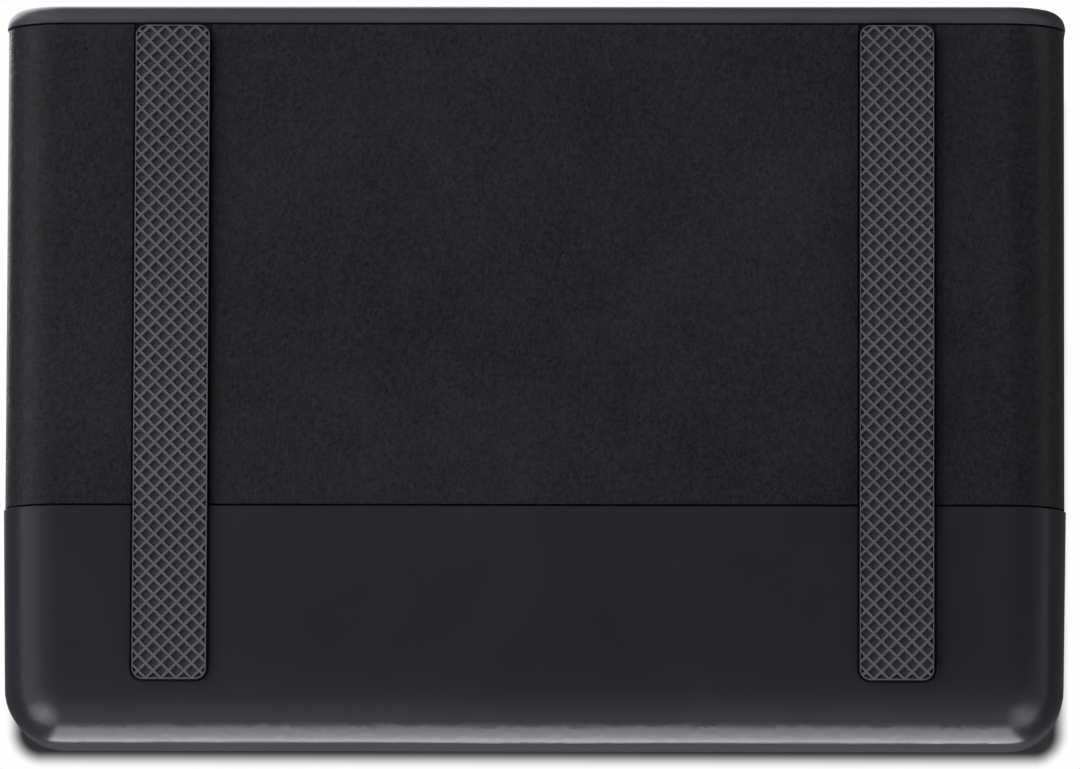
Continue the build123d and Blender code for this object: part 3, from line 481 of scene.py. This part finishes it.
def edgedCopy(node, name, width):
    source = frame["nodes"][node]
    piece = bpy.data.objects.new(name, source.data.copy())
    bpy.context.scene.collection.objects.link(piece)
    editSelect(piece, "VERT", lambda item: True)
    bpy.ops.mesh.remove_doubles(threshold=edging["merge"] * mm)
    bpy.ops.mesh.dissolve_limited(angle_limit=math.radians(edging["flatAngle"]))
    leaveEdit()
    roundEdges(piece, width * mm, edging["segments"], edging["angle"])
    smooth(piece, edging["smoothAngle"])
    flattenNormals(piece)
    return piece


def makeEdgedPieces():
    owner = {node: body for body, nodes in frame["record"]["behaviour"]["bodies"].items() for node in nodes}
    for node, (name, finish, width) in edgedPieces.items():
        piece = edgedCopy(node, name, width)
        hand(piece, finishes[finish], owner[node], [node])
        print("edged piece:", name, len(piece.data.polygons))


makeEdgedPieces()


# Rubber strips with their knurled running face

strip = {"pitch": 2.15, "ridge": 0.25, "pitDepth": 0.45, "pitFloor": 0.60, "overcut": 0.05, "border": 0.13,
         "corner": 1.5, "edge": 0.045, "edgeAngle": 25, "smoothAngle": 30}


def makePits(low, high):
    # one four-sided pit, copied along both ways and then again at half a pitch
    halfPitch = strip["pitch"] * mm / 2
    mouth = halfPitch - strip["ridge"] * mm / math.sqrt(2)
    depth = strip["pitDepth"] * mm
    over = strip["overcut"] * mm
    grow = (mouth - strip["pitFloor"] * mm) * over / depth
    across = math.ceil((high.x - low.x) / (2 * halfPitch)) + 1
    along = math.ceil((high.y - low.y) / (2 * halfPitch)) + 1
    middle = (low + high) / 2
    banks = []
    for shift in (0.0, 1.0):
        clearSelection()
        bpy.ops.mesh.primitive_cone_add(vertices=4, radius1=mouth + grow, radius2=strip["pitFloor"] * mm,
                                        depth=depth + over, location=(0, 0, 0))
        pit = bpy.context.object
        start = (middle.x - (across - 1) * halfPitch + shift * halfPitch,
                 middle.y - (along - 1) * halfPitch + shift * halfPitch, low.z + (depth - over) / 2)
        pit.location = start
        bpy.ops.object.transform_apply(location=True, rotation=True, scale=True)
        for count, way in ((across, (2 * halfPitch, 0, 0)), (along, (0, 2 * halfPitch, 0))):
            repeat(pit, count, way)
        applyAll(pit)
        banks.append(pit)
    return joinAll(banks, "pits")


def makeStrip(node, name):
    low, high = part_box(node)
    body = roundedSlab(name, low, high, strip["corner"] * mm)
    edge = strip["border"] * mm
    pits = makePits(low, high)
    inner = roundedSlab("inner", (low.x + edge, low.y + edge, low.z - mm),
                        (high.x - edge, high.y - edge, high.z), (strip["corner"] - strip["border"]) * mm)
    combine(pits, inner, "INTERSECT")
    combine(body, pits, "DIFFERENCE")
    roundEdges(body, strip["edge"] * mm, segments=1, angle=strip["edgeAngle"])
    smooth(body, strip["smoothAngle"])
    hand(body, finishes["footRubber"], "housing", [node])
    print("strip:", name, len(body.data.polygons))


makeStrip("foot_strip_left", "rubberStripLeft")
makeStrip("foot_strip_right", "rubberStripRight")


# Key marks, lid numbers and rocker marks

# in keyMarks, triangleShift, arrowHead, arrowHeadShift, stemEnds and ringRadius are times keySize
# ringFlat is how flat a ring is pressed and has no unit
keyMarks = {"keySize": 1.35, "rise": (28.20, 28.35), "triangleShift": 0.2, "triangleEdge": 0.12,
            "arrowHead": 0.85, "arrowHeadShift": 0.45, "stemEnds": (0.1, 1.05), "stemHalf": 0.22,
            "stemEdge": 0.08, "ringRadius": 0.9, "ringTube": 0.24, "ringFlat": 0.6, "ringSink": 0.06,
            "keys": {"upMark": ("key_up", "triangle", 0), "downMark": ("key_down", "triangle", 180),
                     "backMark": ("key_back", "arrow", 90), "enterMark": ("key_enter", "ring", 0)}}
lidMarks = {"size": 5.4, "x": -49.5, "relief": 0.06, "deckTop": 27.8}
rockerMarks = {"centre": (-64.1, 47.4, 14.7), "barPlace": (0.0, 3.78, 1.65), "barTurn": -16.5,
               "barSize": (0.45, 0.14, 2.3), "barEdge": 0.06, "ringPlace": (0.0, 3.27, -2.45),
               "ringTurn": -87.5, "ringRadius": 0.95, "ringTube": 0.2, "ringFlat": 0.4}
# points of a sign that are nearer than this are joined
welding = 0.001


def newText(name, words, size, place, depth):
    clearSelection()
    bpy.ops.object.text_add(location=(0, 0, 0))
    label = bpy.context.object
    label.name = name
    label.data.body = words
    label.data.size = size
    label.data.extrude = depth / 2
    label.data.resolution_u = 6
    label.data.align_x = "CENTER"
    label.data.align_y = "CENTER"
    bpy.ops.object.convert(target="MESH")
    label = bpy.context.object
    editSelect(label, "VERT", lambda point: True)
    bpy.ops.mesh.remove_doubles(threshold=welding * mm)
    bpy.ops.mesh.normals_make_consistent(inside=False)
    leaveEdit()
    label.location = place
    applyAll(label)
    return label


def newTriangle(name, place, size, depth, turn):
    # three-sided prism that points towards +Y before its turn
    head = newCylinder(name, place, size, depth, sides=3, turn=(0, 0, math.radians(turn)))
    roundEdges(head, keyMarks["triangleEdge"] * mm, segments=2)
    return head


def newRing(radius, tube, flat, place=(0, 0, 0)):
    clearSelection()
    bpy.ops.mesh.primitive_torus_add(major_radius=radius, minor_radius=tube, major_segments=48,
                                     minor_segments=12, location=place)
    ring = bpy.context.object
    ring.scale.z = flat
    applyAll(ring)
    return ring


def makeKeyMarks():
    low, high = (value * mm for value in keyMarks["rise"])
    middle = (low + high) / 2
    size = keyMarks["keySize"] * mm
    for name, (node, kind, turn) in keyMarks["keys"].items():
        boxLow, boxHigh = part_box(node)
        x, y = ((boxLow + boxHigh) / 2).xy
        if kind == "ring":
            mark = newRing(size * keyMarks["ringRadius"], keyMarks["ringTube"] * mm, keyMarks["ringFlat"],
                           (x, y, middle - keyMarks["ringSink"] * mm))
        elif kind == "arrow":
            head = newTriangle(name, (x - size * keyMarks["arrowHeadShift"], y, middle),
                               size * keyMarks["arrowHead"], high - low, turn)
            near, far = keyMarks["stemEnds"]
            half = keyMarks["stemHalf"] * mm
            stem = newCube("stem", (x - size * near, y - half, low), (x + size * far, y + half, high))
            roundEdges(stem, keyMarks["stemEdge"] * mm, segments=2)
            mark = joinAll([head, stem], name)
        else:
            # moved against its point, so that it looks centred
            shift = keyMarks["triangleShift"] * size * math.cos(math.radians(turn))
            mark = newTriangle(name, (x, y - shift, middle), size, high - low, turn)
        mark.name = name
        smooth(mark)
        hand(mark, finishes["markPaint"], node + "_cap")


def makeLidNumbers():
    for number in "12":
        boxLow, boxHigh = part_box("bay_lid_" + number)
        place = (lidMarks["x"] * mm, (boxLow.y + boxHigh.y) / 2, lidMarks["deckTop"] * mm)
        label = newText("lidNumber" + number, number, lidMarks["size"] * mm, place, lidMarks["relief"] * mm)
        hand(label, finishes["markPaint"], "lid_" + number)


def besideRocker(shift):
    return [(start + step) * mm for start, step in zip(rockerMarks["centre"], shift)]


def makeRockerMarks():
    clearSelection()
    bpy.ops.mesh.primitive_cube_add(size=1, location=besideRocker(rockerMarks["barPlace"]),
                                    rotation=(math.radians(rockerMarks["barTurn"]), 0, 0))
    bar = bpy.context.object
    bar.scale = [length * mm for length in rockerMarks["barSize"]]
    applyAll(bar)
    roundEdges(bar, rockerMarks["barEdge"] * mm, segments=2)
    bar.name = "rockerBar"
    hand(bar, finishes["markPaint"], "rocker")
    ring = newRing(rockerMarks["ringRadius"] * mm, rockerMarks["ringTube"] * mm, rockerMarks["ringFlat"])
    ring.location = besideRocker(rockerMarks["ringPlace"])
    ring.rotation_euler.x = math.radians(rockerMarks["ringTurn"])
    applyAll(ring)
    smooth(ring)
    ring.name = "rockerRing"
    hand(ring, finishes["markPaint"], "rocker")


makeKeyMarks()
makeLidNumbers()
makeRockerMarks()
print("marks: keys, lids and rocker")


# Display: smoked window, recessed screen and plain segments

# drops are measured down from the upper edge of the recess
display = {"windowCorner": 1.2, "windowEdge": 0.18, "screenBorder": 2.4, "screenRecess": 0.12,
           "screenEdge": 0.05, "digits": (("1", -37.0), ("2", -23.0)), "digitSize": 4.6, "signDrop": 2.9,
           "pointerX": -30.0, "pointerSize": 1.3, "rise": 0.05, "barStart": -40.0, "barBlocks": 8,
           "barLit": 5, "barPitch": 5.6, "barBlock": 4.6, "barDrop": (8.4, 6.4), "barLine": 0.3}


def hollowOut(block, line):
    # leaves just a frame of the block, open at its top and bottom
    for side in (1, -1):
        editSelect(block, "FACE", lambda face: face.normal.z * side > 0.9)
        bpy.ops.mesh.inset(thickness=line)
        bpy.ops.mesh.delete(type="FACE")
        leaveEdit()
    editSelect(block, "EDGE", lambda edge: edge.is_boundary)
    bpy.ops.mesh.bridge_edge_loops()
    leaveEdit()


def makeDisplay():
    low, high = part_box("display_lens")
    window = roundedSlab("displayWindow", low, high, display["windowCorner"] * mm, sides=6)
    roundEdges(window, display["windowEdge"] * mm)
    smooth(window)
    flattenNormals(window)
    hand(window, finishes["smokedWindow"], "housing", ["display_lens"])

    low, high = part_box("lcd_panel")
    screen = newCube("screenPanel", low, high)
    editSelect(screen, "FACE", lambda face: face.normal.z > 0.9)
    bpy.ops.mesh.inset(thickness=display["screenBorder"] * mm)
    bpy.ops.transform.translate(value=(0, 0, -display["screenRecess"] * mm))
    leaveEdit()
    roundEdges(screen, display["screenEdge"] * mm, segments=2)
    hand(screen, finishes["screenGlass"], "housing", ["lcd_panel"])

    face = high.z - display["screenRecess"] * mm
    top = high.y - display["screenBorder"] * mm
    rise = display["rise"] * mm
    signs = top - display["signDrop"] * mm
    parts = [newText("digit", words, display["digitSize"] * mm, (x * mm, signs, face), 2 * rise)
             for words, x in display["digits"]]
    parts.append(newTriangle("pointer", (display["pointerX"] * mm, signs, face), display["pointerSize"] * mm,
                             2 * rise, -90))
    bottom, upper = (top - drop * mm for drop in display["barDrop"])
    for index in range(display["barBlocks"]):
        x = (display["barStart"] + index * display["barPitch"]) * mm
        block = newCube("block", (x, bottom, face - rise), (x + display["barBlock"] * mm, upper, face + rise))
        if index >= display["barLit"]:
            hollowOut(block, display["barLine"] * mm)
        parts.append(block)
    segments = joinAll(parts, "screenSegments")
    hand(segments, finishes["screenSegment"], "housing")
    print("display:", len(segments.data.polygons))


makeDisplay()


# Screws with a rounded head and a six-sided drive

screws = {"headRadius": 2.0, "headHeight": 1.2, "headEdge": 0.3, "headSides": 40, "driveRadius": 0.85,
          "driveDepth": 0.8, "stemEdge": 0.2, "stemSides": 24, "lidStem": 0.8, "capStem": 1.0,
          "pairs": {"lidScrewsRear": ("lid_screws_1", "lid_1"), "lidScrewsFront": ("lid_screws_2", "lid_2"),
                    "capScrews": ("cap_screws", "housing")}}


def newScrew(place, turn, length, stemRadius):
    # made with its head's outer face at the origin and its tip towards -Z, then turned and moved
    height = screws["headHeight"]
    head = newCylinder("head", (0, 0, -height / 2 * mm), screws["headRadius"] * mm, height * mm,
                       screws["headSides"])
    roundEdges(head, screws["headEdge"] * mm)
    drive = newCylinder("drive", (0, 0, 0), screws["driveRadius"] * mm, 2 * screws["driveDepth"] * mm,
                        sides=6)
    combine(head, drive, "DIFFERENCE")
    stem = newCylinder("stem", (0, 0, -(length + height) / 2 * mm), stemRadius * mm,
                       (length - height) * mm, screws["stemSides"])
    roundEdges(stem, screws["stemEdge"] * mm, segments=1)
    screw = joinAll([head, stem], "screw")
    screw.location = place
    screw.rotation_euler = turn
    applyAll(screw)
    return screw


def makeScrews():
    for name, (node, body) in screws["pairs"].items():
        low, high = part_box(node)
        middle = (low + high) / 2
        size = (high - low) / mm
        radius = screws["headRadius"] * mm
        pair = []
        for x in (low.x + radius, high.x - radius):
            if node == "cap_screws":
                turn = (math.radians(-90), 0, 0)
                pair.append(newScrew((x, high.y, middle.z), turn, size.y, screws["capStem"]))
            else:
                pair.append(newScrew((x, middle.y, high.z), (0, 0, 0), size.z, screws["lidStem"]))
        both = joinAll(pair, name)
        smooth(both)
        hand(both, finishes["zincSteel"], body, [node])
    print("screws: lids and rear plate")


makeScrews()


# Contacts of the drive sockets and the data port

contacts = {
    "socket": {"pitch": 0.5, "count": 38, "width": 0.28, "length": 3.3, "slot": (13.2, 14.2),
               "thickness": 0.14, "setback": 0.25},
    "port": {"pitch": 0.5, "count": 12, "width": 0.26, "length": 4.4, "rise": 0.03, "setback": 0.3},
    "edge": 0.04,
}


def newRow(low, high, count, way):
    # one small contact with broken edges, then its row
    blade = newCube("blades", low, high)
    roundEdges(blade, contacts["edge"] * mm, segments=1)
    repeat(blade, count, way)
    applyAll(blade)
    return blade


def makeContacts():
    sizes = contacts["socket"]
    floor, top = (height * mm for height in sizes["slot"])
    thickness = sizes["thickness"] * mm
    half = sizes["width"] / 2 * mm
    for number, name in ((1, "socketContactsRear"), (2, "socketContactsFront")):
        low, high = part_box(f"m2_socket_{number}")
        start = (low.y + high.y) / 2 - (sizes["count"] - 1) / 2 * sizes["pitch"] * mm
        rows = [newRow((high.x - sizes["length"] * mm, start - half, below),
                       (high.x - sizes["setback"] * mm, start + half, above),
                       sizes["count"], (0, sizes["pitch"] * mm, 0))
                for below, above in ((floor, floor + thickness), (top - thickness, top))]
        hand(joinAll(rows, name), finishes["gold"], "housing")
    sizes = contacts["port"]
    low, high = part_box("usb_port_tongue")
    start = (low.x + high.x) / 2 - (sizes["count"] - 1) / 2 * sizes["pitch"] * mm
    half = sizes["width"] / 2 * mm
    rise = sizes["rise"] * mm
    rows = [newRow((start - half, high.y - (sizes["length"] + sizes["setback"]) * mm, level - rise),
                   (start + half, high.y - sizes["setback"] * mm, level + rise),
                   sizes["count"], (sizes["pitch"] * mm, 0, 0))
            for level in (low.z, high.z)]
    hand(joinAll(rows, "portContacts"), finishes["gold"], "housing")
    print("contacts: sockets and port")


makeContacts()


# Finishes of the CAD nodes that stay as they are

nodeFinish = {
    "main_board": "solderMask", "control_board": "solderMask", "display_ribbon": "flatFlex",
    "ribbon_sockets": "blackMoulding", "spreader_plate": "aluminium", "spreader_pads": "thermalPad",
    "board_capacitors": "aluminium", "key_switches": "blackMoulding", "light_pipes": "frostedPipe",
    "status_leds": "ledResin", "usb_port_tongue": "blackMoulding", "case_screws": "zincSteel",
    "cup_screws": "zincSteel", "board_screws": "zincSteel", "panel_screws": "zincSteel",
    "switch_plunger_1": "blackMoulding", "switch_plunger_2": "blackMoulding",
    "switch_plunger_3": "blackMoulding", "switch_plunger_4": "blackMoulding",
}
for node, finish in nodeFinish.items():
    target = frame["nodes"][node]
    target.data.materials.clear()
    target.data.materials.append(finishes[finish])
print("CAD nodes with a finish:", len(nodeFinish))


# Stage: a pale floor seen from above, and the pale table top with a painted shadow seen from below

# reach is in metres; the painted shadow is an oblong on the table top: its middle, half sizes and corner
stage = {"reach": 3.0, "floorColour": (0.86, 0.8729, 0.8127), "floorGap": 0.1, "tableTone": 1.0,
         "tableGap": 0.25, "grazing": 0.97, "shadowMiddle": (-0.15, -4.0), "shadowHalf": (74.6, 48.7),
         "shadowCorner": 4.0, "shadowBlur": 1.3, "shadowTone": 0.03}


def paintedShadowStep(tree):
    # painted shadow: distance to the oblong's rounded outline, as a soft step from dark to the table's tone
    place = tree.nodes.new("ShaderNodeNewGeometry")
    split = tree.nodes.new("ShaderNodeSeparateXYZ")
    tree.links.new(place.outputs["Position"], split.inputs["Vector"])
    corner = stage["shadowCorner"] * mm
    beyond = []
    for axis, middle, half in zip("XY", stage["shadowMiddle"], stage["shadowHalf"]):
        away = mathNode(tree, "ABSOLUTE", mathNode(tree, "SUBTRACT", split.outputs[axis], middle * mm))
        beyond.append(mathNode(tree, "SUBTRACT", away, half * mm - corner))
    squares = [mathNode(tree, "POWER", mathNode(tree, "MAXIMUM", value, 0.0), 2.0) for value in beyond]
    outside = mathNode(tree, "SQRT", mathNode(tree, "ADD", *squares))
    inside = mathNode(tree, "MINIMUM", mathNode(tree, "MAXIMUM", *beyond), 0.0)
    blur = stage["shadowBlur"] * mm
    strength = mapRange(tree, mathNode(tree, "ADD", outside, inside), corner - blur, corner + blur,
                        stage["shadowTone"], stage["tableTone"])
    strength.node.interpolation_type = "SMOOTHSTEP"
    return strength


def stageFinish(name, fromBelow):
    # both sheets show on one side only; floor as paint, table top as white with a painted shadow to the
    # camera
    finish = bpy.data.materials.new(name)
    finish.use_nodes = True
    tree = finish.node_tree
    tree.nodes.clear()
    out = tree.nodes.new("ShaderNodeOutputMaterial")
    mix = tree.nodes.new("ShaderNodeMixShader")
    clear = tree.nodes.new("ShaderNodeBsdfTransparent")
    path = tree.nodes.new("ShaderNodeLightPath")
    side = tree.nodes.new("ShaderNodeNewGeometry")
    seen = path.outputs["Is Camera Ray"]
    front = mathNode(tree, "SUBTRACT", 1.0, side.outputs["Backfacing"])
    if fromBelow:
        pale = tree.nodes.new("ShaderNodeEmission")
        tree.links.new(paintedShadowStep(tree), pale.inputs["Strength"])
        edgeOn = tree.nodes.new("ShaderNodeLayerWeight")
        edgeOn.inputs["Blend"].default_value = 0.5
        front = mathNode(tree, "MULTIPLY", front,
                         mathNode(tree, "LESS_THAN", edgeOn.outputs["Facing"], stage["grazing"]))
    else:
        pale = tree.nodes.new("ShaderNodeBsdfDiffuse")
        pale.inputs["Color"].default_value = (*stage["floorColour"], 1)
        for kind in ("Is Glossy Ray", "Is Transmission Ray"):
            seen = mathNode(tree, "MAXIMUM", seen, path.outputs[kind])
    tree.links.new(mathNode(tree, "MULTIPLY", seen, front), mix.inputs["Fac"])
    tree.links.new(clear.outputs[0], mix.inputs[1])
    tree.links.new(pale.outputs[0], mix.inputs[2])
    tree.links.new(mix.outputs[0], out.inputs["Surface"])
    return finish


def newSheet(name, height, turn, finish):
    clearSelection()
    bpy.ops.mesh.primitive_plane_add(size=2 * stage["reach"], location=(0, 0, height), rotation=(turn, 0, 0))
    sheet = bpy.context.object
    sheet.name = name
    sheet.data.materials.append(finish)


def makeStage():
    newSheet("floor", cadLow.z - stage["floorGap"] * mm, 0.0, stageFinish("floorPaint", False))
    newSheet("tableTop", cadHigh.z + stage["tableGap"] * mm, math.pi, stageFinish("tablePaint", True))
    world = bpy.data.worlds.new("studio")
    bpy.context.scene.world = world
    world.use_nodes = True
    tree = world.node_tree
    background = tree.nodes["Background"]
    path = tree.nodes.new("ShaderNodeLightPath")
    tone = mapRange(tree, path.outputs["Is Camera Ray"], 0.0, 1.0, lights["worldFill"], stage["tableTone"])
    tree.links.new(tone, background.inputs["Strength"])
    background.inputs["Color"].default_value = (1, 1, 1, 1)


# Lamps: places, aim and sizes in metres, power in watts

lights = {
    "worldFill": 0.10,
    "tint": (0.982, 0.966, 1.045),
    "aim": (0, 0, 0.014),
    "lamps": {
        "leftSoftbox": {"place": (1.06, 0.27, -0.83), "size": (0.80, 1.44), "power": 23.0},
        "rightSoftbox": {"place": (-1.02, 0.32, -0.80), "size": (0.95, 1.44), "power": 9.0},
        "frontStrip": {"place": (0.0, -0.74, 0.38), "size": (0.50, 1.00), "power": 3.9},
        "leftCorner": {"place": (0.76, -0.99, -0.34), "size": (0.55, 0.55), "power": 20.0},
        "rightCorner": {"place": (-0.72, -1.02, -0.34), "size": (0.55, 0.55), "power": 16.0},
        "rearStrip": {"place": (0.32, 0.36, -0.27), "size": (0.50, 0.28), "power": 2.6},
        "topSoftbox": {"place": (0.42, 0.62, 0.80), "size": (0.90, 0.90), "power": 7.0},
    },
}


def makeLamps():
    for name, settings in lights["lamps"].items():
        data = bpy.data.lights.new(name, "AREA")
        data.shape = "RECTANGLE"
        data.size, data.size_y = settings["size"]
        data.energy = settings["power"]
        data.color = lights["tint"]
        lamp = bpy.data.objects.new(name, data)
        bpy.context.scene.collection.objects.link(lamp)
        lamp.location = settings["place"]
        away = Vector(lights["aim"]) - Vector(settings["place"])
        lamp.rotation_euler = away.to_track_quat("-Z", "Y").to_euler()
        lamp.visible_camera = False


# the photograph's view; clipping in metres
camera = {"place": (-34.5, -200.4, -1760.4), "turn": (-173.568, -1.071, 179.802), "lens": 420.0,
          "sensorWidth": 36.0, "clip": (0.05, 20.0)}


def makeCamera():
    data = bpy.data.cameras.new("photoCamera")
    data.sensor_fit = "HORIZONTAL"
    data.sensor_width = camera["sensorWidth"]
    data.lens = camera["lens"]
    data.clip_start, data.clip_end = camera["clip"]
    eye = bpy.data.objects.new("photoCamera", data)
    bpy.context.scene.collection.objects.link(eye)
    eye.location = [value * mm for value in camera["place"]]
    eye.rotation_euler = [math.radians(value) for value in camera["turn"]]
    bpy.context.scene.camera = eye


makeStage()
makeLamps()
makeCamera()
bpy.context.scene.view_settings.view_transform = "Standard"
print("stage, lamps and camera")
